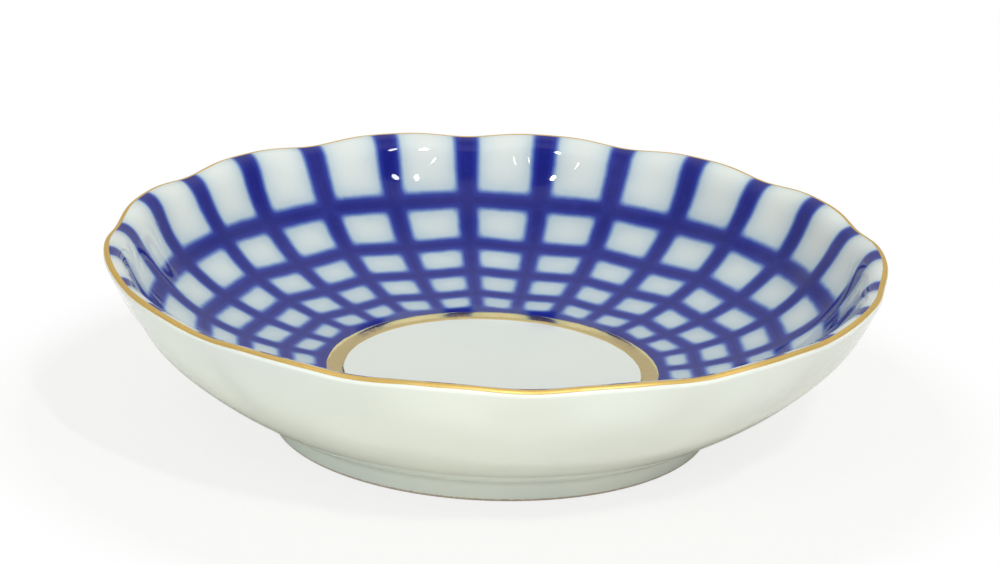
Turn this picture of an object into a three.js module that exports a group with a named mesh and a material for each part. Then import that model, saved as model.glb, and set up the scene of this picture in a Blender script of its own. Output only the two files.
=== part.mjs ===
// A fluted porcelain jam dish with a cobalt check inside, a gilded rim and a gilded ring round its well.
// Millimetres, +Z up. The foot ring stands on z = 0 and the dish's axis is Z, with a petal on +X.
import * as THREE from "three";

const { degToRad, lerp, smoothstep } = THREE.MathUtils;

// Rim and lip
const rimRadius = 52.25; // outermost point of the bare lip
const rimHeight = 24.15; // top of the bare lip, half way up its wave
const lipRadius = 0.7; // rounding of the lip's edge
const lipSlope = degToRad(10); // the lip leans out almost flat

// Flare: the inner wall rolls out to the lip, slowly at first and faster near the lip
const flareHeight = 2.8; // from the roll's start up the wall to where the wall and the lip would meet
const flareWidth = 1.6; // from there along the lip to its rounding
const flareLowerPull = 0.9;
const flareUpperPull = 0.6;

// Wall: each side is one fair curve, from its slope at the top to its slope at the bottom
const wallSlope = degToRad(64);
const insideUpperPull = 0.96;
const insideLowerPull = 0.305;
const outsideUpperPull = 0.61;
const outsideLowerPull = 0.95;

// Well and floor
const wellRadius = 22.5;
const wellHeight = 7.7; // the edge of the well above the table
const wellSlope = degToRad(4.5); // slope of the dished well at its edge
const floorThickness = 3.2; // at the middle of the well

// Foot ring
const footRadius = 29.4;
const footHeight = 3.25; // crease between the wall and the foot ring
const footWidth = 3.2;
const footTaper = 1.6; // each side of the foot ring leans by this much
const footRounding = 0.6;
const footSlope = degToRad(28); // slope of the outer wall where it meets the foot ring
const creaseRounding = 3; // hollow between the outer wall and the foot ring

// Petals: the wall swells and the rim rises in each petal, and both fall in the groove between two
const petalCount = 14;
const fluteDepth = 0.9; // swelling of the wall, from groove to petal
const rimFluteDepth = 0.45; // the same at the lip
const fluteFootHeight = 10; // the wall is round below this height
const fluteFullHeight = 18; // the flutes are deepest here
const rimWave = 0.55; // rise of the rim, from groove to petal
const rimWaveReach = 8; // the wave fades out this far below the rim
const grooveSharpness = 0.2; // the grooves are narrower than the petals

// Layers laid on the body
const layerSeat = 0.15; // clearance under each layer
const layerSpacing = 0.15; // clearance between neighbouring layers
const cobaltThickness = 0.15;
const gildThickness = 0.13;
const rimGildInside = 0.2; // reach of the gold inwards from the lip's rounding
const rimGildOutside = degToRad(27); // and outwards over it, as an angle about the lip's centre
const wellGildWidth = 2.6;

// Cobalt check: stripes on every petal and groove, and rings, with rows of white cells between them
const stripeRimWidth = 3.55;
const stripeWellWidth = 1.9;
const ringWidths = [2.85, 2.55, 2.3, 2.2, 1.4]; // from the rim down
const rowProportions = [3.1, 1.8, 1.3, 1.25, 1]; // heights of the rows of cells, from the rim down
const ringSway = 0.5; // the rings climb this much from each petal to each groove

// Fineness of the facets
const stepsPerPetal = 6;
const wallStep = 4.9; // longest step down the wall
const flareStep = 1.8; // the same where the wall rolls out to the lip
const lipSteps = 3;
const roundingSteps = 2;
const creaseSteps = 2;
const wellSteps = 2;
const stripeColumns = 2; // each stripe of the check is this many facets wide
const cellColumns = 2; // and so is the ring between two stripes

const porcelain = new THREE.MeshStandardMaterial({ color: 0xe8ece6, roughness: 0.12, metalness: 0 });
const cobalt = new THREE.MeshStandardMaterial({ color: 0x2c2a86, roughness: 0.14, metalness: 0 });
const gold = new THREE.MeshStandardMaterial({ color: 0xc8a560, roughness: 0.22, metalness: 1 });

const point = (radius, height) => new THREE.Vector2(radius, height);
const polar = (centre, radius, angle) =>
  point(centre.x + radius * Math.cos(angle), centre.y + radius * Math.sin(angle));
const arc = (centre, radius, from, to) =>
  new THREE.EllipseCurve(centre.x, centre.y, radius, radius, from, to, from > to);

// A curve from `upper`, leaving it down and inwards at one slope, to `lower`, reaching it at another.
// The pulls say how far each handle reaches towards the corner where the two tangents cross.
function fairWall(upper, upperSlope, lower, lowerSlope, upperPull, lowerPull) {
  const down = point(-Math.cos(upperSlope), -Math.sin(upperSlope));
  const out = point(Math.cos(lowerSlope), Math.sin(lowerSlope));
  const span = lower.clone().sub(upper);
  const reach = span.cross(out) / down.cross(out);
  const corner = upper.clone().addScaledVector(down, reach);
  const upperHandle = upper.clone().lerp(corner, upperPull);
  const lowerHandle = lower.clone().lerp(corner, lowerPull);
  return new THREE.CubicBezierCurve(lower, lowerHandle, upperHandle, upper);
}

// The lip: an edge arc that rolls into the flare on the inside and into the outer wall on the outside
const lipInnerAngle = Math.PI / 2 + lipSlope;
const lipOuterAngle = wallSlope - Math.PI / 2;
const lipCentre = point(rimRadius - lipRadius, rimHeight - lipRadius);
const flareTop = polar(lipCentre, lipRadius, lipInnerAngle);
const flareCorner = polar(flareTop, -flareWidth, lipSlope);

// The inside, from the middle of the well out and up, and over the lip's edge
const wellEdge = point(wellRadius, wellHeight);
const wellDip = (wellRadius / 2) * Math.tan(wellSlope);
const wellCentre = point(0, wellHeight - wellDip);
const wellFlat = point(wellRadius / 2, wellHeight - wellDip);
const well = new THREE.QuadraticBezierCurve(wellCentre, wellFlat, wellEdge);
const wallTop = polar(flareCorner, -flareHeight, wallSlope);
const innerWall = fairWall(wallTop, wallSlope, wellEdge, wellSlope, insideUpperPull, insideLowerPull);
const flare = fairWall(flareTop, lipSlope, wallTop, wallSlope, flareUpperPull, flareLowerPull);
const lipEdge = arc(lipCentre, lipRadius, lipInnerAngle, lipOuterAngle);
const inside = new THREE.CurvePath();
inside.curves = [well, innerWall, flare, lipEdge];
const [wellReach, wallReach, flareReach, insideLength] = inside.getCurveLengths();

// The point at a distance along the inside, lifted off the surface by `lift`.
function insidePoint(distance, lift = 0) {
  const share = distance / insideLength;
  const along = inside.getTangent(share);
  return inside.getPoint(share).add(point(-along.y, along.x).multiplyScalar(lift));
}

// Distances from `from` to `to` in equal steps, without the first one.
function stepsTo(from, to, count) {
  return Array.from({ length: count }, (_, i) => lerp(from, to, (i + 1) / count));
}

// Where the layers lie along the inside
const rimGildFrom = flareReach - rimGildInside;
const rimGildTo = flareReach + lipRadius * (lipInnerAngle - rimGildOutside);
const wellGildFrom = wellReach - wellGildWidth;
const checkTop = rimGildFrom - layerSpacing;
const checkBottom = wellReach + layerSpacing;

// The check's bands from the rim down: a row of cells, then a ring, and so on
const sum = (values) => values.reduce((total, value) => total + value, 0);
const cellShare = (checkTop - checkBottom - sum(ringWidths)) / sum(rowProportions);
const checkBands = ringWidths.flatMap((width, i) => [
  { length: rowProportions[i] * cellShare, isRing: false },
  { length: width, isRing: true },
]);

// The check's stations down the wall, each with the kind of band that ends there
const checkStations = [{ distance: checkTop, isRing: false }];
for (const band of checkBands) {
  const from = checkStations.at(-1).distance;
  const to = from - band.length;
  const flareEnd = Math.max(to, Math.min(from, wallReach));
  const flareSteps = stepsTo(from, flareEnd, Math.ceil((from - flareEnd) / flareStep));
  const wallSteps = stepsTo(flareEnd, to, Math.ceil((flareEnd - to) / wallStep));
  for (const distance of [...flareSteps, ...wallSteps]) {
    checkStations.push({ distance, isRing: band.isRing });
  }
}

// 1 in the middle of a petal, falling to its lowest in the groove between two petals.
function petalWave(angle) {
  const phase = petalCount * angle;
  return Math.cos(phase) - grooveSharpness * Math.cos(2 * phase);
}

// Swells the wall and waves the rim of a turned piece, so that every layer follows the body.
function flute(geometry) {
  const vertices = geometry.getAttribute("position");
  for (let i = 0; i < vertices.count; i += 1) {
    const x = vertices.getX(i);
    const y = vertices.getY(i);
    const z = vertices.getZ(i);
    const angle = Math.atan2(y, x);
    const wave = petalWave(angle) / 2;
    const deepening = fluteDepth * smoothstep(z, fluteFootHeight, fluteFullHeight);
    const easing = (fluteDepth - rimFluteDepth) * smoothstep(z, fluteFullHeight, rimHeight);
    const radius = Math.hypot(x, y) + (deepening - easing) * wave;
    const lift = rimWave * smoothstep(z, rimHeight - rimWaveReach, rimHeight) * wave;
    vertices.setXYZ(i, radius * Math.cos(angle), radius * Math.sin(angle), z + lift);
  }
  return geometry;
}

// Turns a section about the dish's axis.
function turn(section) {
  const geometry = new THREE.LatheGeometry(section, petalCount * stepsPerPetal);
  geometry.rotateX(Math.PI / 2);
  return flute(geometry);
}

// A layer turned along the inside from one distance to another.
function layerSection(from, to, thickness, steps) {
  const stations = [from, ...stepsTo(from, to, steps)];
  const upper = stations.map((distance) => insidePoint(distance, layerSeat + thickness));
  const lower = stations.map((distance) => insidePoint(distance, layerSeat));
  return [...lower, ...upper.reverse(), lower[0]];
}

function bodySection() {
  const footInner = footRadius - footWidth;
  const recessRadius = footInner - footTaper;
  const recessHeight = wellCentre.y - floorThickness;
  const outerTop = polar(lipCentre, lipRadius, lipOuterAngle);
  const crease = point(footRadius + footTaper, footHeight);
  const footSideSlope = Math.atan2(footHeight - footRounding, footTaper);
  const creaseReach = creaseRounding * Math.tan((footSideSlope - footSlope) / 2);
  const wallFoot = polar(crease, creaseReach, footSlope);
  const hollowCentre = polar(wallFoot, creaseRounding, footSlope - Math.PI / 2);
  const hollow = arc(hollowCentre, creaseRounding, footSideSlope + Math.PI / 2, footSlope + Math.PI / 2);
  const outerWall = fairWall(
    outerTop,
    wallSlope,
    wallFoot,
    footSlope,
    outsideUpperPull,
    outsideLowerPull,
  );
  const recessCorner = point(recessRadius - footRounding, recessHeight - footRounding);
  const innerCorner = point(footInner + footRounding, footRounding);
  const outerCorner = point(footRadius - footRounding, footRounding);
  const underside = [
    point(0, recessHeight),
    ...arc(recessCorner, footRounding, Math.PI / 2, 0).getPoints(roundingSteps),
    ...arc(innerCorner, footRounding, Math.PI, 1.5 * Math.PI).getPoints(roundingSteps),
    ...arc(outerCorner, footRounding, 1.5 * Math.PI, 2 * Math.PI).getPoints(roundingSteps),
    ...hollow.getPoints(creaseSteps).slice(0, -1),
  ];
  const stations = [
    ...stepsTo(insideLength, flareReach, lipSteps),
    ...checkStations.map((station) => station.distance),
    wellReach,
    ...stepsTo(wellReach, 0, wellSteps),
  ];
  const insideDown = stations.map((distance) => insidePoint(distance));
  insideDown.at(-1).setX(0);
  const wallSteps = Math.ceil(outerWall.getLength() / wallStep);
  return [...underside, ...outerWall.getSpacedPoints(wallSteps), ...insideDown];
}

// The check as one net: a grid of columns and stations whose cobalt patches have a top, a bottom and sides.
function checkGeometry() {
  const stripeCount = 2 * petalCount;
  const columnsPerStripe = stripeColumns + cellColumns;
  const columnCount = stripeCount * columnsPerStripe;
  const rowCount = checkStations.length;
  const positions = [];
  const faces = [];

  // Angle of a column's edge at a station: the stripe's own columns first, then the cells'
  function columnAngle(column, radius, width) {
    const pitch = (2 * Math.PI) / stripeCount;
    const stripe = Math.floor(column / columnsPerStripe);
    const place = column % columnsPerStripe;
    const half = width / radius / 2;
    const offset =
      place <= stripeColumns
        ? lerp(-half, half, place / stripeColumns)
        : lerp(half, pitch - half, (place - stripeColumns) / cellColumns);
    return stripe * pitch + offset;
  }

  // The ends of the net keep their distance from the gold, and everything between them sways
  const topRow = checkBands[0].length;
  const lastRing = checkBands.at(-1).length;
  for (const lift of [layerSeat, layerSeat + cobaltThickness]) {
    for (const { distance } of checkStations) {
      const share = (distance - checkBottom) / (checkTop - checkBottom);
      const width = lerp(stripeWellWidth, stripeRimWidth, share);
      const hold = Math.min((checkTop - distance) / topRow, (distance - checkBottom) / lastRing, 1);
      for (let column = 0; column < columnCount; column += 1) {
        const angle = columnAngle(column, insidePoint(distance).x, width);
        const sway = (hold * ringSway * petalWave(angle)) / 2;
        const { x: radius, y: height } = insidePoint(distance - sway, lift);
        positions.push(radius * Math.cos(angle), radius * Math.sin(angle), height);
      }
    }
  }

  const corner = (row, column, level) => (level * rowCount + row) * columnCount + (column % columnCount);
  const addFace = (a, b, c, d) => faces.push(a, b, c, a, c, d);
  function isCobalt(row, column) {
    if (row < 0 || row >= rowCount - 1) return false;
    const place = (column + columnCount) % columnsPerStripe;
    return checkStations[row + 1].isRing || place < stripeColumns;
  }

  for (let row = 0; row < rowCount - 1; row += 1) {
    for (let column = 0; column < columnCount; column += 1) {
      if (!isCobalt(row, column)) continue;
      const [a, b] = [0, 1].map((level) => corner(row, column, level));
      const [c, d] = [0, 1].map((level) => corner(row, column + 1, level));
      const [e, f] = [0, 1].map((level) => corner(row + 1, column + 1, level));
      const [g, h] = [0, 1].map((level) => corner(row + 1, column, level));
      addFace(b, d, f, h);
      addFace(a, g, e, c);
      if (!isCobalt(row - 1, column)) addFace(a, c, d, b);
      if (!isCobalt(row + 1, column)) addFace(g, h, f, e);
      if (!isCobalt(row, column - 1)) addFace(a, b, h, g);
      if (!isCobalt(row, column + 1)) addFace(c, e, f, d);
    }
  }
  const geometry = new THREE.BufferGeometry();
  geometry.setAttribute("position", new THREE.Float32BufferAttribute(positions, 3));
  geometry.setIndex(faces);
  return flute(geometry);
}

function piece(name, geometry, material) {
  const mesh = new THREE.Mesh(geometry, material);
  mesh.name = name;
  return mesh;
}

const dish = new THREE.Group();
const rimGildSection = layerSection(rimGildFrom, rimGildTo, gildThickness, lipSteps - 1);
const wellGildSection = layerSection(wellGildFrom, wellReach, gildThickness, 1);
dish.add(piece("porcelain_body", turn(bodySection()), porcelain));
dish.add(piece("cobalt_check", checkGeometry(), cobalt));
dish.add(piece("rim_gilding", turn(rimGildSection), gold));
dish.add(piece("well_gilding", turn(wellGildSection), gold));

export default dish;
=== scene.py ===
"""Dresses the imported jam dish: glazed porcelain, an underglaze cobalt check, and two bands of gold."""

import math

import bmesh
import bpy
import numpy as np
from bpy.props import FloatProperty, FloatVectorProperty, IntProperty, PointerProperty
from bpy.types import Operator, Panel, PropertyGroup
from mathutils import Matrix, Vector


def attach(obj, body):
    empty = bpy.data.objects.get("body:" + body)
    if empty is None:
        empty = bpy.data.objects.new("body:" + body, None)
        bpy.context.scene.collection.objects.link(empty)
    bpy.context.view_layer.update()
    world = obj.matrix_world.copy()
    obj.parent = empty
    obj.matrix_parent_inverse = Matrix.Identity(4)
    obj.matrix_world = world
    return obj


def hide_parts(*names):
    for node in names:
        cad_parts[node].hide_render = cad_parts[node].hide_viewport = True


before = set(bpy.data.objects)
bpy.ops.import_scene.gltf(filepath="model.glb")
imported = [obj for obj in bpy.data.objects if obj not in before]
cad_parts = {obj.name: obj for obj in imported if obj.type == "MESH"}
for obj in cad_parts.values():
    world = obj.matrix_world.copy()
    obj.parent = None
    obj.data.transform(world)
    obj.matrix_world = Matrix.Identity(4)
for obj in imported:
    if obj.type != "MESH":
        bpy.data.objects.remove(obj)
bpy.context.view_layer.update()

bl_info = {
    "name": "Jam Dish",
    "version": (1, 0, 0),
    "blender": (4, 5, 0),
    "location": "View3D > Sidebar > Jam Dish",
    "description": "Fluted porcelain jam dish with a cobalt check and gilding",
    "category": "Add Mesh",
}

BODY = "root"

# Kinds of socket in the node groups, and the middle of Blender's noise
COLOUR = "NodeSocketColor"
VALUE = "NodeSocketFloat"
NOISE_MIDDLE = 0.5

# Fineness of the meshes: counts of points and faces, and lengths in metres
CURVE_STEPS = 240
CREASE_STEPS = 13
FOOT_STEPS = 9
COLUMNS_PER_PETAL = 28
STRIPE_COLUMNS = 8
CELL_COLUMNS = 6
BAND_ROWS = 19
WALL_ROW = 0.0005
LIP_ROW = 0.000125
CHECK_ROW = 0.0004
AXIS_HOLE = 0.0004

# Seeds and waves of what a hand lays unevenly
STRIPE_SEED = 5
RIM_SEED = 3
WELL_SEED = 11
BRUSH_WAVES = 2, 60

# The gold's edges sink by this share of its thickness, and its crown is this flat
EDGE_SINK = 0.2
CROWN_POWER = 6

# The cobalt's mesh reaches past the colour by this many widths of its soft edge, and this far under the gold
SOFT_MARGIN = 1.4
UNDER_RIM_GOLD = 0.0002

# Heights over which the glaze sets in above the foot ring's rim, in radii of its rounding
BARE_HEIGHTS = 0.35, 1.1

# Tone, specks and waves of the clear glaze
TONE_BAND = 0.35, 0.7
SPECK_EDGE = 0.022, 0.045
SPECK_CHOICE = 0.9, 0.93
SPECK_STRENGTH = 0.55
SPECK_PIT = -0.02
PEEL_HEIGHT = 0.008
GLAZED_ROUGHNESS = 0.3
COAT_ROUGHNESS = 0.035
COAT_IOR = 1.5

# Bare body of the foot ring's rim
RAGGED_EDGE = 0.5
GLAZE_END = 0.6, 0.85
GRIT_BAND = 0.3, 0.7
GRIT_SHADE = 0.78
GRIT_HEIGHT = 0.2
BARE_ROUGHNESS = 0.7

# Cobalt: bands of the noise that lays it unevenly, and depths into it in widths of its soft edge
# The tint beside the cobalt is partly its real bleed and partly painted shade on the white cells
BLEED_AND_SHADE_BAND = 0.25, 0.75
BLEED_AND_SHADE_UNEVENNESS = 0.92, 1.08
LAID_BAND = 0.2, 0.55
LAID_STRENGTH = 0.6, 1.0
WASH_DEPTHS = -1.0, 0.3
PIGMENT_DEPTHS = -0.4, 1.0
HEART_DEPTHS = 0.2, 2.4

# Gold: where it is thin, how its sheen varies, and its relief
THIN_BAND = 0.5, 0.75
GRAIN_BAND = 0.35, 0.7
THINNING = 0.5
THIN_TONE = 0.72, 0.66, 0.55
SHEEN_BAND = 0.3, 0.75
SHEEN_UNEVENNESS = 0.9, 1.3
GRAIN_HEIGHT = 0.12
GOLD_RELIEF = 0.25


def length(name, description, default):
    return FloatProperty(
        name=name, description=description, default=default, precision=5, subtype="DISTANCE", unit="LENGTH"
    )


def angle(name, description, degrees):
    return FloatProperty(
        name=name, description=description, default=math.radians(degrees), subtype="ANGLE", unit="ROTATION"
    )


def angle_list(name, description, degrees):
    radians = [math.radians(value) for value in degrees]
    return FloatVectorProperty(
        name=name, description=description, default=radians, size=len(radians), unit="ROTATION"
    )


def share(name, description, default):
    return FloatProperty(
        name=name, description=description, default=default, min=0.0, max=1.0, subtype="FACTOR"
    )


def amount(name, description, default):
    return FloatProperty(name=name, description=description, default=default, min=0.0)


def watts(name, description, default):
    return FloatProperty(name=name, description=description, default=default, min=0.0, unit="POWER")


def colour(name, description, default):
    return FloatVectorProperty(
        name=name, description=description, default=default, size=3, min=0.0, max=1.0, subtype="COLOR"
    )


def place(name, description, default):
    return FloatVectorProperty(
        name=name,
        description=description,
        default=default,
        size=3,
        precision=4,
        subtype="TRANSLATION",
        unit="LENGTH",
    )


class JamDishForm(PropertyGroup):
    """The shape of the dish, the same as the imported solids."""

    rim_radius: length("Rim radius", "Outermost point of the bare lip", 0.05225)
    rim_height: length("Rim height", "Top of the bare lip, half way up its wave", 0.02415)
    lip_radius: length("Lip rounding", "Radius of the lip's edge", 0.0007)
    lip_slope: angle("Lip slope", "The lip leans out almost flat", 10)
    flare_height: length("Flare height", "Length of the roll to the lip, along the wall", 0.0028)
    flare_width: length("Flare width", "Length of the roll to the lip, along the lip", 0.0016)
    flare_lower_pull: share("Flare lower pull", "Fullness of the roll at the wall", 0.9)
    flare_upper_pull: share("Flare upper pull", "Fullness of the roll at the lip", 0.6)
    wall_slope: angle("Wall slope", "Slope of the wall under the lip", 64)
    inside_upper_pull: share("Upper pull", "Fullness of the inner wall at its top", 0.96)
    inside_lower_pull: share("Lower pull", "Fullness of the inner wall at the well", 0.305)
    outside_upper_pull: share("Outer upper pull", "Fullness of the outer wall at its top", 0.61)
    outside_lower_pull: share("Outer lower pull", "Fullness of the outer wall at the foot", 0.95)
    well_radius: length("Well radius", "Edge of the well", 0.0225)
    well_height: length("Well height", "Edge of the well above the table", 0.0077)
    well_slope: angle("Well slope", "Slope of the dished well at its edge", 4.5)
    floor_thickness: length("Floor", "Thickness at the middle of the well", 0.0032)
    foot_radius: length("Foot radius", "Outside of the foot ring on the table", 0.0294)
    foot_height: length("Foot height", "Crease between the wall and the foot ring", 0.00325)
    foot_width: length("Foot width", "Width of the foot ring on the table", 0.0032)
    foot_taper: length("Foot taper", "Lean of each side of the foot ring", 0.0016)
    foot_rounding: length("Foot rounding", "Radius of the foot ring's edges", 0.0006)
    foot_slope: angle("Foot slope", "Slope of the wall where it meets the foot", 28)
    crease_rounding: length("Crease", "Hollow between the outer wall and the foot ring", 0.003)
    petal_count: IntProperty(
        name="Petals", description="Number of petals round the dish", default=14, min=3
    )
    flute_depth: length("Flute depth", "Swelling of the wall in a petal", 0.0009)
    rim_flute_depth: length("Rim flute depth", "The same at the lip", 0.00045)
    flute_foot_height: length("Flute foot", "The wall is round below this", 0.010)
    flute_full_height: length("Flute height", "The flutes are deepest here", 0.018)
    rim_wave: length("Rim wave", "Rise of the rim in a petal", 0.00055)
    rim_wave_reach: length("Wave reach", "The wave fades out this far down", 0.008)
    groove_sharpness: share("Groove sharpness", "Narrows the grooves", 0.2)


class JamDishGlaze(PropertyGroup):
    """The porcelain and its clear glaze."""

    white: colour("White", "Glazed porcelain", (0.80, 0.843, 0.768))
    shade: colour("Shade", "Greyer tone where the glaze is thicker", (0.76, 0.805, 0.76))
    biscuit: colour("Biscuit", "Unglazed rim of the foot ring", (0.62, 0.53, 0.42))
    speck: colour("Speck", "Kiln specks in the glaze", (0.42, 0.40, 0.36))
    clouds: length("Clouds", "Size of the patches of greyer tone", 0.03)
    speck_spacing: length("Speck spacing", "Distance between the places where a speck may lie", 0.0045)
    ripple: length("Ripple", "Size of the glaze's slow waves", 0.009)
    peel: length("Peel", "Size of the glaze's fine waves", 0.0011)
    relief: length("Relief", "Height of the glaze's waves", 0.00012)
    grit: length("Grit", "Size of the grains in the unglazed rim", 0.0004)


class JamDishCheck(PropertyGroup):
    """The cobalt check under the glaze."""

    cobalt: colour("Cobalt", "Full strength of the colour", (0.004, 0.008, 0.2))
    thin: colour("Thin cobalt", "Where the colour is laid thin", (0.019, 0.034, 0.33))
    wash: colour("Wash", "Palest blue, along the edge of the colour", (0.16, 0.28, 0.55))
    # The tint beside the cobalt is partly its real bleed into the glaze and partly painted shade, which
    # darkens the white cells most in the lower rows where the lines lie close
    bleed_and_shade: colour("Bleed and shade", "Tint where the colour bleeds into the glaze", (0.41, 0.54, 0.625))
    bleed_and_shade_reach: length("Bleed reach", "Over this distance the tint falls to about a third", 0.00128)
    bleed_and_shade_strength: share("Bleed strength", "Strength of the tint beside the colour", 0.95)
    bleed_and_shade_clouds: length("Bleed clouds", "Size of the patches in the tint", 0.003)
    stripe_rim_width: length("Stripe at rim", "Width of a stripe at the rim", 0.00355)
    stripe_well_width: length("Stripe at well", "Width of a stripe at the well", 0.0019)
    ring_widths: FloatVectorProperty(
        name="Ring widths",
        description="Widths of the rings, from the rim down",
        default=(0.00285, 0.00255, 0.0023, 0.0022, 0.0014),
        size=5,
        precision=5,
        unit="LENGTH",
    )
    row_proportions: FloatVectorProperty(
        name="Row proportions",
        description="Heights of the rows of white cells, from the rim down",
        default=(3.1, 1.8, 1.3, 1.25, 1.0),
        size=5,
    )
    ring_sway: length("Ring sway", "Climb of the rings from each petal to each groove", 0.0005)
    rim_gap: length("Rim gap", "From the check's top row to the lip's rounding", 0.00035)
    well_gap: length("Well gap", "From the lowest ring to the gold round the well", 0.00015)
    softness: length("Softness", "Blur of the colour's edge", 0.0005)
    corner: length("Corners", "Rounding of the cells' corners", 0.0009)
    run_under: length("Run under", "Reach of the lowest ring under the gold", 0.0009)
    drift: angle("Drift", "The stripes run ahead by this much across the dish", 0.8)
    unevenness: angle("Unevenness", "Spread of the stripes about their places", 0.18)
    lift: length("Lift", "Height of the colour over the body", 0.00002)
    clouds: length("Clouds", "Size of the patches where the colour is laid thin", 0.0028)
    flow: length("Flow", "Size of the waves along the colour's edge", 0.0016)
    flow_depth: length("Flow depth", "Depth of the waves along the colour's edge", 0.00025)


class JamDishGilding(PropertyGroup):
    """The gold on the rim and round the well."""

    rim_gold: colour("Rim gold", "Gold on the rim", (0.86, 0.615, 0.205))
    well_gold: colour("Well gold", "Gold round the well", (0.90, 0.71, 0.335))
    rim_sheen: share("Rim sheen", "Roughness of the gold on the rim", 0.5)
    well_sheen: share("Well sheen", "Roughness of the gold round the well", 0.05)
    rim_start: length("Rim start", "From the start of the lip's rounding to the gold", 0.00003)
    rim_outside: angle("Rim outside", "Reach of the gold over the lip", 27)
    well_width: length("Well width", "Width of the band round the well", 0.0026)
    thickness: length("Thickness", "Height of the gold over the glaze", 0.00005)
    wobble: length("Wobble", "Unevenness of the brushed edges", 0.00007)
    clouds: length("Clouds", "Size of the patches where the gold is thin", 0.0035)
    grain: length("Grain", "Size of the brush's fine grain", 0.00035)
    relief: length("Relief", "Height of the unevenness in the gold", 0.00003)


class JamDishStage(PropertyGroup):
    """Floor, light and camera."""

    floor: colour("Floor", "Colour of the floor", (0.62, 0.605, 0.55))
    # The floor under and beside the dish is painted lighter than the rest: a painted pool of light that
    # brightens the light thrown up onto the foot
    floor_painted_light: colour("Floor near", "Colour of the floor under and beside the dish", (0.75, 0.73, 0.665))
    floor_radius: length("Floor radius", "Radius of the floor", 2.4)
    floor_glow: share("Floor glow", "Share of plain white in the floor beside the foot", 0.8)
    shadow_reach: length("Shadow reach", "Within this radius the floor keeps its whole shadow", 0.03)
    glow_reach: length("Glow reach", "Beyond this radius the floor shows plain white", 0.075)
    painted_light_reach: length("Near reach", "Within this radius the floor has its near colour", 0.05)
    painted_light_fade: length("Far reach", "Beyond this radius the floor has its own colour", 0.15)
    room: amount("Room light", "Strength of the soft light from the sides", 0.5)
    sky: amount("Sky light", "Strength of the soft light from above", 0.81)
    front: share("Front light", "Share of the soft light that comes from the front", 0.4)
    high: share("High front light", "Share of the soft light that comes from high in front", 1.0)
    middle: share("Overhead light", "Share of the soft light that comes from overhead", 0.68)
    lamp_powers: FloatVectorProperty(
        name="Lamp powers",
        description="Power of each lamp",
        default=(0.4, 3.3, 0.2),
        size=3,
        min=0.0,
        unit="POWER",
    )
    lamp_width: length("Lamp width", "Width of each lamp", 0.036)
    lamp_length: length("Lamp length", "Upright length of each lamp", 0.095)
    lamp_distance: length("Lamp distance", "From each lamp to the dish", 0.9)
    lamp_turns: angle_list("Lamp turns", "Angle of each lamp from the front", (-28, 21, 35.5))
    lamp_heights: angle_list("Lamp heights", "Angle of each lamp above the table", (45, 48, 44))
    strip_power: watts("Strips", "Power of each strip lamp", 0.12)
    strip_width: length("Strip width", "Width of each strip lamp", 0.016)
    strip_length: length("Strip length", "Upright length of each strip lamp", 0.12)
    strip_turns: angle_list("Strip turns", "Turn of each strip from the front", (9.3, -4.2, -12.8, -39.8))
    strip_heights: angle_list("Strip heights", "Height of each strip as an angle", (35.4, 33.8, 30.3, 31.9))
    panel_power: watts("Panel", "Power of the soft panel in front", 4.7)
    panel_width: length("Panel width", "Width of the panels in front and at the side", 2.4)
    panel_length: length("Panel length", "Upright length of the panels in front and behind", 0.12)
    panel_distance: length("Panel distance", "From each panel to the dish", 1.0)
    panel_height: angle("Panel height", "Angle above the table of the panels in front and behind", 4)
    back_power: watts("Back panel", "Power of the soft panel behind", 2.4)
    back_width: length("Back width", "Width of the panel behind", 1.4)
    side_power: watts("Side panel", "Power of the cool panel at the left", 2.4)
    side_length: length("Side length", "Upright length of the cool panel", 0.03)
    side_turn: angle("Side turn", "Angle of the cool panel from the front", -75)
    side_height: angle("Side height", "Angle of the cool panel above the table", 0.9)
    side_tint: colour("Side tint", "Colour of the cool panel", (0.74, 0.91, 1.0))
    lens: FloatProperty(
        name="Lens",
        description="Focal length on a 36 mm sensor",
        default=195.26,
        subtype="DISTANCE_CAMERA",
        unit="CAMERA",
    )
    camera_place: place("Camera", "Where the camera stands", (-0.0643, -0.68154, 0.26018))
    camera_aim: place("Aim", "The point in the middle of the view", (0.00057, -0.00005, 0.02002))
    camera_roll: angle("Roll", "Turn of the camera about its view", 2.2)


class JamDishSettings(PropertyGroup):
    """Everything that can be changed on the dish."""

    form: PointerProperty(name="Form", description="Shape", type=JamDishForm)
    glaze: PointerProperty(name="Glaze", description="Porcelain", type=JamDishGlaze)
    check: PointerProperty(name="Check", description="Cobalt check", type=JamDishCheck)
    gilding: PointerProperty(name="Gilding", description="Gold", type=JamDishGilding)
    stage: PointerProperty(name="Stage", description="Stage", type=JamDishStage)


def smoothstep(value, low, high):
    t = np.clip((value - low) / (high - low), 0, 1)
    return t * t * (3 - 2 * t)


def polar(radius, angles):
    return radius * np.stack([np.cos(angles), np.sin(angles)], axis=-1)


def arc(centre, radius, start, end, count=CURVE_STEPS):
    return centre + polar(radius, np.linspace(start, end, count))


def bezier(*controls, count=CURVE_STEPS):
    """Points along the Bezier curve of any number of control points."""
    along = np.linspace(0, 1, count)[:, None]
    points = [np.asarray(control, float) for control in controls]
    while len(points) > 1:
        points = [a + (b - a) * along for a, b in zip(points, points[1:])]
    return points[0]


def fair_wall(upper, upper_slope, lower, lower_slope, upper_pull, lower_pull):
    """A wall's curve from lower to upper, with handles that reach to where its end tangents cross."""
    down = -polar(1, upper_slope)
    out = polar(1, lower_slope)
    span = lower - upper
    reach = (span[0] * out[1] - span[1] * out[0]) / (down[0] * out[1] - down[1] * out[0])
    corner = upper + down * reach
    lower_handle = lower + (corner - lower) * lower_pull
    upper_handle = upper + (corner - upper) * upper_pull
    return bezier(lower, lower_handle, upper_handle, upper)


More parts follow.
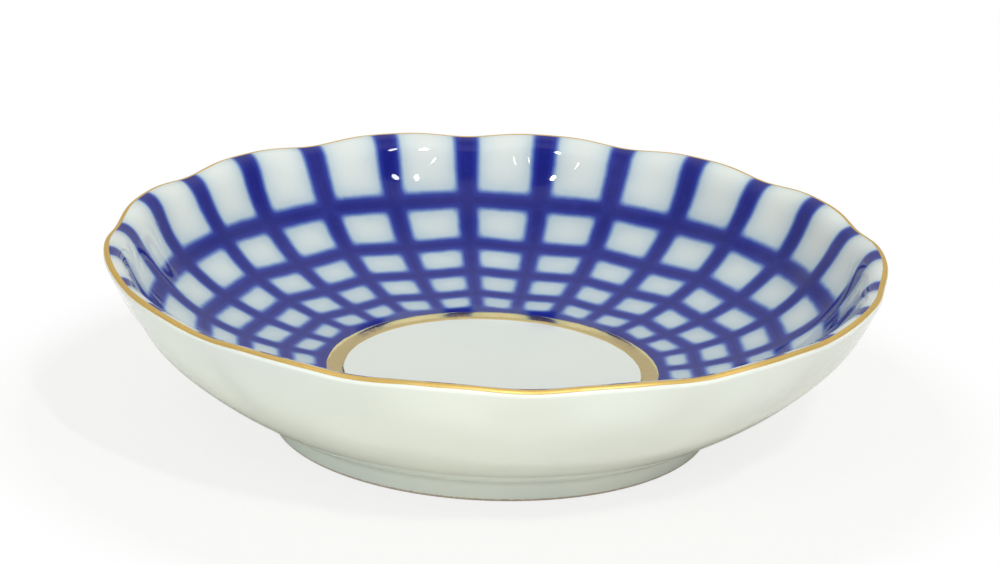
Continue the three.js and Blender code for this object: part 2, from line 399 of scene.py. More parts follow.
class Line:
    """A section line that is read by the distance along it. Its reaches are where its curves end."""

    def __init__(self, *curves):
        self.points = np.concatenate([curves[0], *(curve[1:] for curve in curves[1:])])
        steps = np.linalg.norm(np.diff(self.points, axis=0), axis=1)
        self.distances = np.concatenate([[0], np.cumsum(steps)])
        self.reaches = self.distances[np.cumsum([len(curve) - 1 for curve in curves])]
        tangents = np.gradient(self.points, self.distances, axis=0)
        self.normals = np.stack([-tangents[:, 1], tangents[:, 0]], axis=1)

    def at(self, distance, lift=0.0):
        """Radius and height at a distance, lifted off the surface."""

        def read(values):
            return np.interp(distance, self.distances, values)

        radius = read(self.points[:, 0]) + lift * read(self.normals[:, 0])
        height = read(self.points[:, 1]) + lift * read(self.normals[:, 1])
        return radius, height


def well_bottom(form):
    """Height of the middle of the dished well."""
    return form.well_height - form.well_radius / 2 * math.tan(form.well_slope)


def inside_line(form):
    """The inside of the dish, from the middle of the well to the outer edge of the lip."""
    lip_inner = math.pi / 2 + form.lip_slope
    lip_outer = form.wall_slope - math.pi / 2
    lip_centre = np.array([form.rim_radius - form.lip_radius, form.rim_height - form.lip_radius])
    flare_top = lip_centre + polar(form.lip_radius, lip_inner)
    flare_corner = flare_top - polar(form.flare_width, form.lip_slope)
    wall_top = flare_corner - polar(form.flare_height, form.wall_slope)
    well_edge = np.array([form.well_radius, form.well_height])
    well_low = well_bottom(form)
    return Line(
        bezier((0, well_low), (form.well_radius / 2, well_low), well_edge),
        fair_wall(
            wall_top, form.wall_slope, well_edge, form.well_slope,
            form.inside_upper_pull, form.inside_lower_pull,
        ),
        fair_wall(
            flare_top, form.lip_slope, wall_top, form.wall_slope,
            form.flare_upper_pull, form.flare_lower_pull,
        ),
        arc(lip_centre, form.lip_radius, lip_inner, lip_outer),
    )


def outside_line(form, top):
    """The outside of the dish, from the lip down to the middle of its underside."""
    foot_inner = form.foot_radius - form.foot_width
    recess = np.array([foot_inner - form.foot_taper, well_bottom(form) - form.floor_thickness])
    rounding = form.foot_rounding
    outer_corner = np.array([form.foot_radius - rounding, rounding])
    inner_corner = np.array([foot_inner + rounding, rounding])
    crease = np.array([form.foot_radius + form.foot_taper, form.foot_height])
    hollow = form.crease_rounding
    side_slope = math.atan2(form.foot_height - rounding, form.foot_taper)
    wall_foot = crease + polar(hollow * math.tan((side_slope - form.foot_slope) / 2), form.foot_slope)
    hollow_centre = wall_foot + polar(hollow, form.foot_slope - math.pi / 2)
    hollow_start = form.foot_slope + math.pi / 2
    wall = fair_wall(
        top, form.wall_slope, wall_foot, form.foot_slope,
        form.outside_upper_pull, form.outside_lower_pull,
    )[::-1]
    return Line(
        wall,
        arc(hollow_centre, hollow, hollow_start, side_slope + math.pi / 2, CREASE_STEPS),
        arc(outer_corner, rounding, 0, -math.pi / 2, FOOT_STEPS),
        arc(inner_corner, rounding, 1.5 * math.pi, math.pi, FOOT_STEPS),
        arc(recess - rounding, rounding, 0, math.pi / 2, FOOT_STEPS),
        bezier(recess - (rounding, 0), (0, recess[1]), count=FOOT_STEPS),
    )


def steps_between(start, end, longest):
    return np.linspace(start, end, max(2, math.ceil(abs(end - start) / longest) + 1))


def petal_wave(form, angles):
    """Highest in the middle of a petal, and lowest in the groove between two petals."""
    phase = form.petal_count * angles
    return (np.cos(phase) - form.groove_sharpness * np.cos(2 * phase)) / 2


def fluted(form, radius, height, angles):
    """Points of the dish, with the wall swelling and the rim rising in each petal."""
    wave = petal_wave(form, angles)
    deepening = form.flute_depth * smoothstep(height, form.flute_foot_height, form.flute_full_height)
    near_rim = smoothstep(height, form.flute_full_height, form.rim_height)
    easing = (form.flute_depth - form.rim_flute_depth) * near_rim
    rise = form.rim_wave * smoothstep(height, form.rim_height - form.rim_wave_reach, form.rim_height)
    swollen = radius + (deepening - easing) * wave
    return np.stack([swollen * np.cos(angles), swollen * np.sin(angles), height + rise * wave], axis=-1)


def even_columns(form):
    count = form.petal_count * COLUMNS_PER_PETAL
    return np.linspace(0, 2 * math.pi, count, endpoint=False)


def grid_mesh(name, grid, keep=None):
    """A smooth mesh whose rows run along the section and whose columns run round the dish."""
    rows, columns = grid.shape[:2]
    index = np.arange(rows * columns).reshape(rows, columns)
    beside = np.roll(index, -1, axis=1)
    faces = np.stack([index[:-1], index[1:], beside[1:], beside[:-1]], axis=-1)
    faces = faces.reshape(-1, 4) if keep is None else faces[keep]
    mesh = bpy.data.meshes.new(name)
    mesh.from_pydata(grid.reshape(-1, 3).tolist(), [], faces.tolist())
    mesh.shade_smooth()
    return mesh


def follow_grid(mesh, grid):
    """Gives the mesh the normals of the whole grid, so that a cut-out shades like the surface under it."""
    along = np.gradient(grid, axis=0)
    across = np.roll(grid, -1, axis=1) - np.roll(grid, 1, axis=1)
    normals = np.cross(along, across)
    normals /= np.linalg.norm(normals, axis=-1, keepdims=True)
    mesh.normals_split_custom_set_from_vertices(normals.reshape(-1, 3).tolist())


def mark(mesh, name, values):
    """Stores one number at each vertex for the material to read."""
    attribute = mesh.attributes.new(name, "FLOAT", "POINT")
    attribute.data.foreach_set("value", np.asarray(values, np.float32).ravel())


def drop_loose(mesh):
    """Removes the vertices that no face uses."""
    shape = bmesh.new()
    shape.from_mesh(mesh)
    bmesh.ops.delete(shape, geom=[v for v in shape.verts if not v.link_faces], context="VERTS")
    shape.to_mesh(mesh)
    shape.free()


def close_ends(mesh):
    """Closes the small holes at the dish's axis with fans of faces."""
    shape = bmesh.new()
    shape.from_mesh(mesh)
    filled = bmesh.ops.holes_fill(shape, edges=shape.edges)
    bmesh.ops.poke(shape, faces=filled["faces"])
    shape.to_mesh(mesh)
    shape.free()


def show(context, mesh, material, slot, *nodes):
    """Puts a mesh with its material in the scene on the dish's body, and hides these CAD nodes."""
    mesh.materials.append(material)
    piece = bpy.data.objects.new(mesh.name, mesh)
    context.scene.collection.objects.link(piece)
    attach(piece, BODY)
    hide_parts(*nodes)


class CheckPlan:
    """Where the stripes and the rings of the check lie on the inside."""

    def __init__(self, dish, inside):
        check = dish.check
        well_end, _, flare_end, _ = inside.reaches
        self.form = dish.form
        self.check = check
        self.top = flare_end - check.rim_gap
        self.bottom = well_end + check.well_gap
        widths = np.array(check.ring_widths)
        rows = np.array(check.row_proportions)
        rows = rows * (self.top - self.bottom - widths.sum()) / rows.sum()
        self.ring_low = self.top - np.cumsum(rows + widths)
        self.ring_high = self.ring_low + widths
        self.ends = rows[0], widths[-1]
        self.ring_low[-1] -= check.run_under
        count = 2 * dish.form.petal_count
        even = 2 * math.pi / count * np.arange(count)
        uneven = np.random.default_rng(STRIPE_SEED).normal(size=count) * check.unevenness
        self.stripes = even + check.drift / 2 * (1 - np.cos(even)) + uneven

    def width(self, stations):
        """Width of a stripe at a distance along the inside."""
        check = self.check
        rise = (stations - self.bottom) / (self.top - self.bottom)
        return check.stripe_well_width + (check.stripe_rim_width - check.stripe_well_width) * rise

    def sway(self, stations, angles):
        """How far the rings dip, which is below zero where they climb in a groove, and less near the gold."""
        below_top = (self.top - stations) / self.ends[0]
        above_bottom = (stations - self.bottom) / self.ends[1]
        hold = np.clip(np.minimum(below_top, above_bottom), 0, 1)
        return hold * self.check.ring_sway * petal_wave(self.form, angles)

    def from_stripes(self, stations, radius, angles):
        """Distance into each stripe from its edge."""
        turns = angles[..., None] - self.stripes
        apart = np.abs((turns + math.pi) % (2 * math.pi) - math.pi)
        half = self.width(stations) / 2
        return half[..., None] - apart * radius[..., None]

    def from_rings(self, stations):
        """Distance into each ring from its edge."""
        stations = stations[..., None]
        return np.minimum(stations - self.ring_low, self.ring_high - stations)

    def bleed_and_shade(self, distances, radius, angles):
        """Strength of the tint in the white, where every stripe and ring near by adds its own: partly the
        cobalt's bleed, partly painted shade that darkens the closely lined lower rows.
        """
        check = self.check
        stations = distances + self.sway(distances, angles)
        depths = np.concatenate(
            [self.from_stripes(stations, radius, angles), self.from_rings(stations)], axis=-1
        )
        each = check.bleed_and_shade_strength * np.exp(np.minimum(depths, 0) / check.bleed_and_shade_reach)
        return (1 - np.prod(1 - each, axis=-1)) * (stations > self.ring_low[-1])

    def depth(self, distances, radius, angles):
        """Distance into the colour from its edge, below zero on the white."""
        stations = distances + self.sway(distances, angles)
        from_stripe = self.from_stripes(stations, radius, angles).max(axis=-1)
        from_ring = self.from_rings(stations).max(axis=-1)
        near = np.clip(1 - np.abs(from_stripe - from_ring) / self.check.corner, 0, 1)
        joined = np.maximum(from_stripe, from_ring) + self.check.corner / 4 * near**2
        return np.minimum(joined, stations - self.ring_low[-1])


def brushed_edge(angles, seed):
    """An uneven line round the dish, between about -1 and 1, as a brush leaves it."""
    random = np.random.default_rng(seed)
    turns = np.arange(*BRUSH_WAVES)
    heights = random.normal(size=turns.size) / np.sqrt(turns)
    phases = random.uniform(0, 2 * math.pi, turns.size)
    waves = heights[:, None] * np.cos(turns[:, None] * angles + phases[:, None])
    line = waves.sum(axis=0)
    return line / np.abs(line).max()


def gilded_band(dish, line, name, start, end, seed):
    """A thin band of gold along the inside, with brushed edges that sink into the glaze."""
    form, gilding = dish.form, dish.gilding
    angles = even_columns(form)
    first = start + gilding.wobble * brushed_edge(angles, seed)
    last = end + gilding.wobble * brushed_edge(angles, seed + 1)
    across = (1 - np.cos(np.linspace(0, math.pi, BAND_ROWS)))[:, None] / 2
    crown = 1 - (2 * across - 1) ** CROWN_POWER
    lift = gilding.thickness * ((1 + EDGE_SINK) * crown - EDGE_SINK)
    radius, height = line.at(first + (last - first) * across, lift)
    grid = fluted(form, radius, height, angles)
    mesh = grid_mesh(name, grid)
    follow_grid(mesh, grid)
    return mesh


def new_tree(owner):
    owner.use_nodes = True
    tree = owner.node_tree
    tree.nodes.clear()
    return tree


def put(tree, kind, inputs=None, **settings):
    """Adds a node. Each input takes a plain value, or the socket that feeds it."""
    node = tree.nodes.new(kind)
    for name, value in settings.items():
        setattr(node, name, value)
    for name, value in (inputs or {}).items():
        if isinstance(value, bpy.types.NodeSocket):
            tree.links.new(value, node.inputs[name])
        else:
            node.inputs[name].default_value = value
    return node


def math_node(tree, operation, first, second):
    return put(tree, "ShaderNodeMath", {0: first, 1: second}, operation=operation).outputs[0]


def mix_colour(tree, factor, first, second):
    """A mix of two colours, which are the seventh and eighth inputs of Blender's node."""
    return put(tree, "ShaderNodeMix", {0: factor, 6: first, 7: second}, data_type="RGBA").outputs[2]


def ease(tree, value, low, high, to_low=0.0, to_high=1.0, step="SMOOTHSTEP"):
    """A step of a value from one range to another, smooth unless it says otherwise."""
    return put(
        tree,
        "ShaderNodeMapRange",
        {"Value": value, "From Min": low, "From Max": high, "To Min": to_low, "To Max": to_high},
        interpolation_type=step,
    ).outputs["Result"]


def noise(tree, where, size, detail=2.0, roughness=0.5):
    """Noise whose waves are about this many metres long."""
    return put(
        tree,
        "ShaderNodeTexNoise",
        {"Vector": where, "Scale": 1 / size, "Detail": detail, "Roughness": roughness},
    ).outputs["Fac"]


def bump(tree, height, relief, strength=1.0):
    """The normal of a surface whose waves are this many metres high."""
    inputs = {"Strength": strength, "Distance": relief, "Height": height}
    return put(tree, "ShaderNodeBump", inputs).outputs["Normal"]


def on_object(tree):
    return put(tree, "ShaderNodeTexCoord").outputs["Object"]


def marked(tree, name):
    """The number that mark stored at each vertex."""
    return put(tree, "ShaderNodeAttribute", attribute_name=name).outputs["Fac"]


def rgba(channels):
    return (*channels, 1.0)


def new_group(name, inputs, outputs):
    """A shader node group with these sockets, and what its inputs give."""
    group = bpy.data.node_groups.new(name, "ShaderNodeTree")
    for in_out, sockets in (("INPUT", inputs), ("OUTPUT", outputs)):
        for socket_name, kind in sockets.items():
            group.interface.new_socket(socket_name, in_out=in_out, socket_type=kind)
    return group, put(group, "NodeGroupInput").outputs


def shared_group(name, make, settings):
    """The group of this name, made when the first material asks for it."""
    return bpy.data.node_groups.get(name) or make(name, settings)


def glaze_group(name, glaze):
    """Clear glaze over white porcelain: its tone, its specks and its slow waves."""
    group, given = new_group(
        name,
        {"White": COLOUR, "Shade": COLOUR, "Speck": COLOUR},
        {"Color": COLOUR, "Height": VALUE},
    )
    where = on_object(group)
    cloud = noise(group, where, glaze.clouds, detail=3.0)
    tone = mix_colour(group, ease(group, cloud, *TONE_BAND), given["White"], given["Shade"])
    cells = put(
        group,
        "ShaderNodeTexVoronoi",
        {"Vector": where, "Scale": 1 / glaze.speck_spacing, "Randomness": 1.0},
    ).outputs
    dot = ease(group, cells["Distance"], *SPECK_EDGE, 1.0, 0.0)
    lot = put(group, "ShaderNodeSeparateColor", {"Color": cells["Color"]}).outputs[0]
    specks = math_node(group, "MULTIPLY", dot, ease(group, lot, *SPECK_CHOICE, step="LINEAR"))
    faint = math_node(group, "MULTIPLY", specks, SPECK_STRENGTH)
    slow = noise(group, where, glaze.ripple, detail=1.0)
    fine = math_node(group, "MULTIPLY", noise(group, where, glaze.peel, detail=1.0), PEEL_HEIGHT)
    waves = math_node(group, "ADD", slow, fine)
    pits = math_node(group, "MULTIPLY", specks, SPECK_PIT)
    put(
        group,
        "NodeGroupOutput",
        {
            "Color": mix_colour(group, faint, tone, given["Speck"]),
            "Height": math_node(group, "ADD", waves, pits),
        },
    )
    return group


def bleed_and_shade_group(name, check):
    """Tint of the white beside the cobalt, a little uneven: partly the cobalt's bleed, partly painted shade.
    """
    group, given = new_group(name, {"Bleed and shade": VALUE, "White": COLOUR, "Tint": COLOUR}, {"Color": COLOUR})
    cloud = noise(group, on_object(group), check.bleed_and_shade_clouds)
    uneven = ease(group, cloud, *BLEED_AND_SHADE_BAND, *BLEED_AND_SHADE_UNEVENNESS)
    strength = math_node(group, "MULTIPLY", given["Bleed and shade"], uneven)
    tinted = mix_colour(group, strength, given["White"], given["Tint"])
    put(group, "NodeGroupOutput", {"Color": tinted})
    return group


def gilding_group(name, gilding):
    """Burnished gold: thin places in its clouds and grain, an uneven sheen and a fine relief."""
    group, given = new_group(
        name,
        {"Gold": COLOUR, "Thin": COLOUR, "Sheen": VALUE},
        {"Color": COLOUR, "Roughness": VALUE, "Height": VALUE},
    )
    where = on_object(group)
    cloud = noise(group, where, gilding.clouds, detail=4.0, roughness=0.6)
    grain = noise(group, where, gilding.grain)
    bare = math_node(group, "MULTIPLY", ease(group, cloud, *THIN_BAND), ease(group, grain, *GRAIN_BAND))
    thinned = math_node(group, "MULTIPLY", bare, THINNING)
    uneven = ease(group, cloud, *SHEEN_BAND, *SHEEN_UNEVENNESS)
    scratches = math_node(group, "MULTIPLY", grain, GRAIN_HEIGHT)
    put(
        group,
        "NodeGroupOutput",
        {
            "Color": mix_colour(group, thinned, given["Gold"], given["Thin"]),
            "Roughness": math_node(group, "MULTIPLY", given["Sheen"], uneven),
            "Height": math_node(group, "ADD", cloud, scratches),
        },
    )
    return group


def glaze_shader(tree, base, roughness, coat, normal):
    """The shader of a glazed surface, with the clear glaze as its coat."""
    shader = put(
        tree,
        "ShaderNodeBsdfPrincipled",
        {
            "Base Color": base,
            "Roughness": roughness,
            "Coat Weight": coat,
            "Coat Roughness": COAT_ROUGHNESS,
            "Coat IOR": COAT_IOR,
            "Specular IOR Level": 0.0,
            "Normal": normal,
        },
    )
    put(tree, "ShaderNodeOutputMaterial", {"Surface": shader.outputs["BSDF"]})


def glazed_white(tree, dish):
    """The white of the glaze as the cobalt near it tints it, partly with painted shade, and the glaze's
    waves.
    """
    glaze, check = dish.glaze, dish.check
    glazed = put(
        tree,
        "ShaderNodeGroup",
        {"White": rgba(glaze.white), "Shade": rgba(glaze.shade), "Speck": rgba(glaze.speck)},
        node_tree=shared_group("Clear Glaze", glaze_group, glaze),
    ).outputs
    tinted = put(
        tree,
        "ShaderNodeGroup",
        {"Bleed and shade": marked(tree, "bleed_and_shade"), "White": glazed["Color"], "Tint": rgba(check.bleed_and_shade)},
        node_tree=shared_group("Cobalt Bleed", bleed_and_shade_group, check),
    ).outputs
    return tinted["Color"], glazed["Height"]


def porcelain_material(dish):
    """White porcelain under clear glaze, bare along the foot ring's rim."""
    glaze = dish.glaze
    material = bpy.data.materials.new("glazed_porcelain")
    tree = new_tree(material)
    white, waves = glazed_white(tree, dish)
    grit = noise(tree, on_object(tree), glaze.grit, detail=3.0)
    ragged = math_node(tree, "ADD", marked(tree, "bare"), math_node(tree, "MULTIPLY", grit, RAGGED_EDGE))
    bare = ease(tree, ragged, *GLAZE_END)
    dark = rgba([GRIT_SHADE * channel for channel in glaze.biscuit])
    clay = mix_colour(tree, ease(tree, grit, *GRIT_BAND), rgba(glaze.biscuit), dark)
    base = mix_colour(tree, bare, white, clay)
    roughening = math_node(tree, "MULTIPLY", bare, BARE_ROUGHNESS - GLAZED_ROUGHNESS)
    roughness = math_node(tree, "ADD", GLAZED_ROUGHNESS, roughening)
    coat = math_node(tree, "SUBTRACT", 1.0, bare)
    grains = math_node(tree, "MULTIPLY", math_node(tree, "MULTIPLY", grit, bare), GRIT_HEIGHT)
    height = math_node(tree, "ADD", waves, grains)
    glaze_shader(tree, base, roughness, coat, bump(tree, height, glaze.relief))
    return material


def cobalt_material(dish):
    """Cobalt under the same glaze, with edges that bleed into the white."""
    check = dish.check
    material = bpy.data.materials.new("underglaze_cobalt")
    tree = new_tree(material)
    white, waves = glazed_white(tree, dish)
    where = on_object(tree)
    depth = marked(tree, "depth")
    flow = math_node(tree, "SUBTRACT", noise(tree, where, check.flow, detail=3.0), NOISE_MIDDLE)
    edge = math_node(tree, "ADD", depth, math_node(tree, "MULTIPLY", flow, check.flow_depth))

    def between(value, depths):
        """Rises over these depths into the colour, in widths of its soft edge."""
        return ease(tree, value, *(check.softness * part for part in depths))

    cloud = noise(tree, where, check.clouds, detail=5.0, roughness=0.65)
    uneven = ease(tree, cloud, *LAID_BAND, *LAID_STRENGTH)
    laid = math_node(tree, "MULTIPLY", uneven, between(depth, HEART_DEPTHS))
    pigment = mix_colour(tree, laid, rgba(check.thin), rgba(check.cobalt))
    washed = mix_colour(tree, between(edge, WASH_DEPTHS), white, rgba(check.wash))
    base = mix_colour(tree, between(edge, PIGMENT_DEPTHS), washed, pigment)
    glaze_shader(tree, base, GLAZED_ROUGHNESS, 1.0, bump(tree, waves, dish.glaze.relief))
    return material


def gold_material(gilding, name, gold, sheen):
    """Burnished gold of one tone and sheen."""
    material = bpy.data.materials.new(name)
    tree = new_tree(material)
    thin = [part * channel for part, channel in zip(THIN_TONE, gold)]
    burnished = put(
        tree,
        "ShaderNodeGroup",
        {"Gold": rgba(gold), "Thin": rgba(thin), "Sheen": sheen},
        node_tree=shared_group("Burnished Gold", gilding_group, gilding),
    ).outputs
    shader = put(
        tree,
        "ShaderNodeBsdfPrincipled",
        {
            "Base Color": burnished["Color"],
            "Metallic": 1.0,
            "Roughness": burnished["Roughness"],
            "Normal": bump(tree, burnished["Height"], gilding.relief, GOLD_RELIEF),
        },
    )
    put(tree, "ShaderNodeOutputMaterial", {"Surface": shader.outputs["BSDF"]})
    return material


class JAMDISH_OT_body(Operator):
    """Make the fluted porcelain body"""

    bl_idname = "jam_dish.body"
    bl_label = "Porcelain Body"

    def execute(self, context):
        dish = context.scene.jam_dish
        form = dish.form
        inside = inside_line(form)
        outside = outside_line(form, inside.points[-1])
        _, _, flare_end, lip_end = inside.reaches
        inside_rows = np.concatenate(
            [
                steps_between(AXIS_HOLE, flare_end, WALL_ROW)[:-1],
                steps_between(flare_end, lip_end, LIP_ROW),
            ]
        )
        wall_end = outside.reaches[0]
        in_foot = (outside.distances > wall_end) & (outside.points[:, 0] > AXIS_HOLE)
        outside_rows = np.concatenate(
            [steps_between(0, wall_end, WALL_ROW)[1:], outside.distances[in_foot]]
        )
        radius, height = (
            np.concatenate(pair) for pair in zip(inside.at(inside_rows), outside.at(outside_rows))
        )
        angles = even_columns(form)
        mesh = grid_mesh("porcelain_bowl", fluted(form, radius[:, None], height[:, None], angles))
        under = np.concatenate([np.zeros_like(inside_rows), np.ones_like(outside_rows)])
        glaze_heights = [part * form.foot_rounding for part in BARE_HEIGHTS]
        mark(mesh, "bare", np.repeat(under * (1 - smoothstep(height, *glaze_heights)), angles.size))
        # Tint of the white beside the cobalt: partly its bleed, partly painted shade on the lower rows
        bleed_and_shade = np.zeros((radius.size, angles.size))
        rows = np.flatnonzero(inside_rows < flare_end + dish.gilding.rim_start)
        plan = CheckPlan(dish, inside)
        bleed_and_shade[rows] = plan.bleed_and_shade(inside_rows[rows, None], radius[rows, None], angles[None, :])
        mark(mesh, "bleed_and_shade", bleed_and_shade)
        close_ends(mesh)
        show(context, mesh, porcelain_material(dish), "porcelain", "porcelain_body")
        return {"FINISHED"}


class JAMDISH_OT_check(Operator):
    """Lay the cobalt check on the inner wall"""

    bl_idname = "jam_dish.check"
    bl_label = "Cobalt Check"

    def execute(self, context):
        dish = context.scene.jam_dish
        form, check = dish.form, dish.check
        inside = inside_line(form)
        plan = CheckPlan(dish, inside)
        margin = SOFT_MARGIN * check.softness
        _, _, flare_end, _ = inside.reaches
        stations, in_ring = self.rows(plan, flare_end + dish.gilding.rim_start + UNDER_RIM_GOLD, margin)
        angles, in_stripe = self.columns(plan, inside, stations, margin)
        distances = stations - plan.sway(stations, angles)
        radius, height = inside.at(distances, check.lift)
        grid = fluted(form, radius, height, angles)
        mesh = grid_mesh("cobalt_net", grid, keep=in_ring | in_stripe)
        follow_grid(mesh, grid)
        mark(mesh, "depth", plan.depth(distances, radius, angles))
        # The same tint, partly bleed and partly painted shade, under the colour's soft edge
        mark(mesh, "bleed_and_shade", plan.bleed_and_shade(distances, radius, angles))
        drop_loose(mesh)
        show(context, mesh, cobalt_material(dish), "cobalt", "cobalt_check")
        return {"FINISHED"}

    def rows(self, plan, top, margin):
        """Distances of the net's rows, from the lowest up, and which rows of faces lie in a ring."""
        bounds = [top]
        for low, high in zip(plan.ring_low, plan.ring_high):
            bounds += [high + margin, low - margin]
        bounds[-1] = plan.bottom - plan.check.run_under
        stations = [top]
        in_ring = []
        for i, (start, end) in enumerate(zip(bounds, bounds[1:])):
            steps = steps_between(start, end, CHECK_ROW)[1:]
            stations += steps.tolist()
            in_ring += [i % 2 == 1] * steps.size
        return np.array(stations[::-1])[:, None], np.array(in_ring[::-1])[:, None]

    def columns(self, plan, inside, stations, margin):
        """Angles of the net's columns in each row, and which columns of faces lie in a stripe."""
        half = (plan.width(stations) / 2 + margin) / inside.at(stations)[0]
        within = np.linspace(-1, 1, STRIPE_COLUMNS + 1)
        between = np.linspace(0, 1, CELL_COLUMNS + 1)[1:-1]
        following = np.append(plan.stripes[1:], plan.stripes[0] + 2 * math.pi)
        columns = []
        for stripe, beside in zip(plan.stripes, following):
            columns.append(stripe + half * within)
            columns.append(stripe + half + (beside - stripe - 2 * half) * between)
        angles = np.concatenate(columns, axis=1)
        place_in_pair = np.arange(angles.shape[1]) % (STRIPE_COLUMNS + CELL_COLUMNS)
        return angles, place_in_pair < STRIPE_COLUMNS


class JAMDISH_OT_gilding(Operator):
    """Lay the gold on the rim and round the well"""

    bl_idname = "jam_dish.gilding"
    bl_label = "Gilding"

    def execute(self, context):
        dish = context.scene.jam_dish
        form, gilding = dish.form, dish.gilding
        inside = inside_line(form)
        well_end, _, flare_end, _ = inside.reaches
        lip_inner = math.pi / 2 + form.lip_slope
        rim_start = flare_end + gilding.rim_start
        rim_end = flare_end + form.lip_radius * (lip_inner - gilding.rim_outside)
        rim = gilded_band(dish, inside, "rim_gold_band", rim_start, rim_end, RIM_SEED)
        rim_gold = gold_material(gilding, "rim_gold", gilding.rim_gold, gilding.rim_sheen)
        show(context, rim, rim_gold, "rim_gold", "rim_gilding")
        well_start = well_end - gilding.well_width
        well = gilded_band(dish, inside, "well_gold_band", well_start, well_end, WELL_SEED)
        well_gold = gold_material(gilding, "well_gold", gilding.well_gold, gilding.well_sheen)
        show(context, well, well_gold, "well_gold", "well_gilding")
        return {"FINISHED"}


class JAMDISH_OT_stage(Operator):
    """Set the floor, the light and the camera"""

    bl_idname = "jam_dish.stage"
    bl_label = "Stage"

    WHITE = 1.0, 1.0, 1.0
    FLOOR_SIDES = 96
    FLOOR_CLOUDS = 0.3
    FLOOR_UNEVENNESS = 0.01
    SENSOR_WIDTH = 36
    CLIP_START = 0.05
    CLIP_END = 20

    # Parts of a direction between which the soft light changes: upwards for the sky, backwards for the rest
    SKY_BAND = 0.35, 0.9
    FRONT_BAND = -0.61, -0.53
    OVERHEAD_BAND = -0.45, -0.1
    BACK_BAND = -0.1, 0.45

    def execute(self, context):
        stage = context.scene.jam_dish.stage
        context.scene.view_settings.view_transform = "Standard"
        self.make_floor(context, stage)
        self.make_world(context, stage)
        size = stage.lamp_width, stage.lamp_length
        for turn, height, power in zip(stage.lamp_turns, stage.lamp_heights, stage.lamp_powers):
            self.make_lamp(context, "lamp", stage.lamp_distance, turn, height, size, power)
        size = stage.strip_width, stage.strip_length
        for turn, height in zip(stage.strip_turns, stage.strip_heights):
            self.make_lamp(context, "strip", stage.lamp_distance, turn, height, size, stage.strip_power)
        self.make_panels(context, stage)
        self.make_camera(context, stage)
        return {"FINISHED"}

    def plain_white(self, tree, stage, from_foot):
        """Share of plain white in the floor: all of it far from the dish, less in its shadow by the foot.

        Mirrors and glass show the white floor too, with the whole of the shadow.
        """
        path = put(tree, "ShaderNodeLightPath").outputs
        mirrored = math_node(tree, "MAXIMUM", path["Is Glossy Ray"], path["Is Transmission Ray"])
        direct = math_node(tree, "MAXIMUM", path["Is Camera Ray"], mirrored)
        far = ease(tree, from_foot, stage.shadow_reach, stage.glow_reach)
        glow = math_node(tree, "MULTIPLY", path["Is Camera Ray"], stage.floor_glow)
        return math_node(tree, "MULTIPLY", math_node(tree, "MAXIMUM", far, glow), direct)

    def floor_material(self, stage):
        """A pale floor that keeps the shadow of the dish, painted lighter near the dish as a painted pool of
        light, and is clear from below.
        """
        material = bpy.data.materials.new("pale_floor")
        tree = new_tree(material)
        where = on_object(tree)
        from_foot = put(tree, "ShaderNodeVectorMath", {0: where}, operation="LENGTH").outputs["Value"]
        cloud = noise(tree, where, self.FLOOR_CLOUDS)
        away = math_node(tree, "ADD", from_foot, math_node(tree, "MULTIPLY", cloud, self.FLOOR_UNEVENNESS))
        # Painted pool of light: the floor is lighter under and beside the dish, and fades out to its own
        # colour
        far = ease(tree, away, stage.painted_light_reach, stage.painted_light_fade)
        tint = mix_colour(tree, far, rgba(stage.floor_painted_light), rgba(stage.floor))
        paper = put(tree, "ShaderNodeBsdfDiffuse", {"Color": tint})
        glow = put(tree, "ShaderNodeEmission", {"Color": rgba(self.WHITE), "Strength": 1.0})
        white = self.plain_white(tree, stage, from_foot)
        top = put(tree, "ShaderNodeMixShader", {0: white, 1: paper.outputs[0], 2: glow.outputs[0]})
        below = put(tree, "ShaderNodeNewGeometry").outputs["Backfacing"]
        clear = put(tree, "ShaderNodeBsdfTransparent")
        mixed = put(tree, "ShaderNodeMixShader", {0: below, 1: top.outputs[0], 2: clear.outputs[0]})
        put(tree, "ShaderNodeOutputMaterial", {"Surface": mixed.outputs[0]})
        return material

    def make_floor(self, context, stage):
        shape = bmesh.new()
        bmesh.ops.create_circle(shape, cap_ends=True, segments=self.FLOOR_SIDES, radius=stage.floor_radius)
        mesh = bpy.data.meshes.new("floor")
        shape.to_mesh(mesh)
        shape.free()
        mesh.materials.append(self.floor_material(stage))
        floor = bpy.data.objects.new("floor", mesh)
        context.scene.collection.objects.link(floor)

    def make_world(self, context, stage):
        """Soft light that changes from the sides to the sky, and from the front to the back."""
        world = bpy.data.worlds.new("studio")
        context.scene.world = world
        tree = new_tree(world)
        towards = put(tree, "ShaderNodeTexCoord").outputs["Generated"]
        way = put(tree, "ShaderNodeSeparateXYZ", {"Vector": towards}).outputs
        soft = ease(tree, way["Z"], *self.SKY_BAND, stage.room, stage.sky)
        ahead = ease(tree, way["Y"], *self.FRONT_BAND, stage.front, stage.high)
        above = ease(tree, way["Y"], *self.OVERHEAD_BAND, 0.0, stage.middle - stage.high)
        behind = ease(tree, way["Y"], *self.BACK_BAND, 0.0, 1.0 - stage.middle)
        part = math_node(tree, "ADD", math_node(tree, "ADD", ahead, above), behind)
        strength = math_node(tree, "MULTIPLY", soft, part)
        room = put(tree, "ShaderNodeBackground", {"Color": rgba(self.WHITE), "Strength": strength})
        put(tree, "ShaderNodeOutputWorld", {"Surface": room.outputs[0]})

    def make_lamp(self, context, name, distance, turn, height, size, power):
        """An oval lamp that points at the dish."""
        data = bpy.data.lights.new(name, "AREA")
        data.shape = "ELLIPSE"
        data.size, data.size_y = size
        data.energy = power
        lamp = bpy.data.objects.new(name, data)
        level = distance * math.cos(height)
        at = Vector((level * math.sin(turn), -level * math.cos(turn), distance * math.sin(height)))
        lamp.matrix_world = Matrix.Translation(at) @ (-at).to_track_quat("-Z", "Y").to_matrix().to_4x4()
        context.scene.collection.objects.link(lamp)
        return lamp

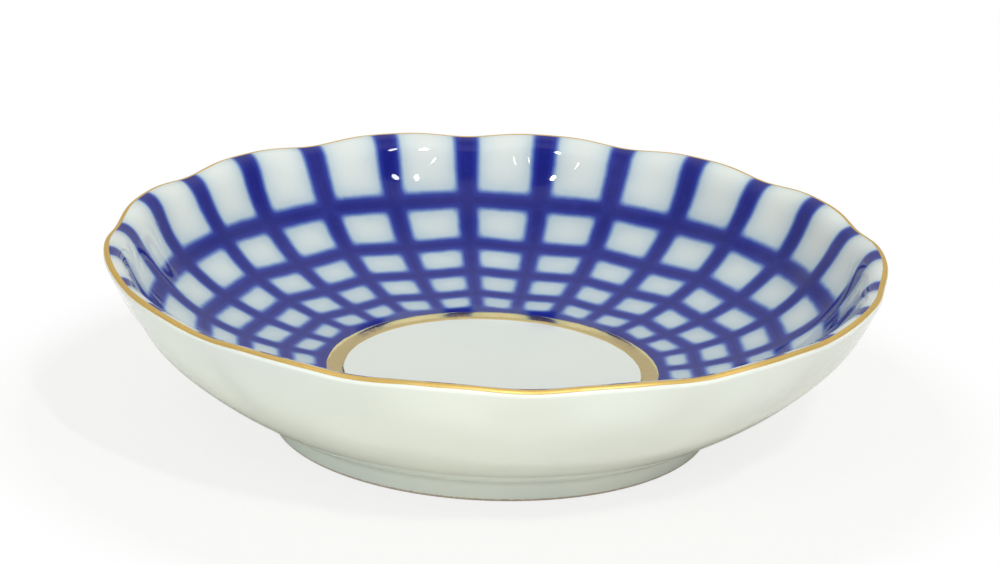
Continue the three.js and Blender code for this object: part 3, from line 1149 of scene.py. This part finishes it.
    def make_panels(self, context, stage):
        """Soft panels that light the outside of the dish and stay out of its reflections."""
        front = stage.panel_width, stage.panel_length
        back = stage.back_width, stage.panel_length
        side = stage.panel_width, stage.side_length
        panels = (
            ("front_panel", 0.0, stage.panel_height, front, stage.panel_power, self.WHITE),
            ("back_panel", math.pi, stage.panel_height, back, stage.back_power, self.WHITE),
            ("side_panel", stage.side_turn, stage.side_height, side, stage.side_power, stage.side_tint),
        )
        for name, turn, height, size, power, tint in panels:
            panel = self.make_lamp(context, name, stage.panel_distance, turn, height, size, power)
            panel.data.shape = "RECTANGLE"
            panel.data.color = tint
            panel.visible_glossy = False

    def make_camera(self, context, stage):
        data = bpy.data.cameras.new("camera")
        data.sensor_width = self.SENSOR_WIDTH
        data.lens = stage.lens
        data.clip_start = self.CLIP_START
        data.clip_end = self.CLIP_END
        camera = bpy.data.objects.new("camera", data)
        at = Vector(stage.camera_place)
        level = (Vector(stage.camera_aim) - at).to_track_quat("-Z", "Y").to_matrix().to_4x4()
        camera.matrix_world = Matrix.Translation(at) @ level @ Matrix.Rotation(stage.camera_roll, 4, "Z")
        context.scene.collection.objects.link(camera)
        context.scene.camera = camera


class JAMDISH_PT_pieces(Panel):
    """Sizes, colours and pieces of the jam dish"""

    bl_idname = "JAMDISH_PT_pieces"
    bl_label = "Jam Dish"
    bl_space_type = "VIEW_3D"
    bl_region_type = "UI"
    bl_category = "Jam Dish"

    def draw(self, context):
        dish = context.scene.jam_dish
        for operator in OPERATORS:
            self.layout.operator(operator.bl_idname)
        for settings in (dish.form, dish.glaze, dish.check, dish.gilding, dish.stage):
            column = self.layout.column(align=True)
            for name in settings.__annotations__:
                column.prop(settings, name)


OPERATORS = (JAMDISH_OT_body, JAMDISH_OT_check, JAMDISH_OT_gilding, JAMDISH_OT_stage)
CLASSES = (
    JamDishForm,
    JamDishGlaze,
    JamDishCheck,
    JamDishGilding,
    JamDishStage,
    JamDishSettings,
    *OPERATORS,
    JAMDISH_PT_pieces,
)


def register():
    for cls in CLASSES:
        bpy.utils.register_class(cls)
    bpy.types.Scene.jam_dish = PointerProperty(
        name="Jam dish", description="Settings of the jam dish", type=JamDishSettings
    )


def unregister():
    del bpy.types.Scene.jam_dish
    for cls in reversed(CLASSES):
        bpy.utils.unregister_class(cls)


def main():
    register()
    bpy.ops.jam_dish.body()
    bpy.ops.jam_dish.check()
    bpy.ops.jam_dish.gilding()
    bpy.ops.jam_dish.stage()


if __name__ == "__main__":
    main()
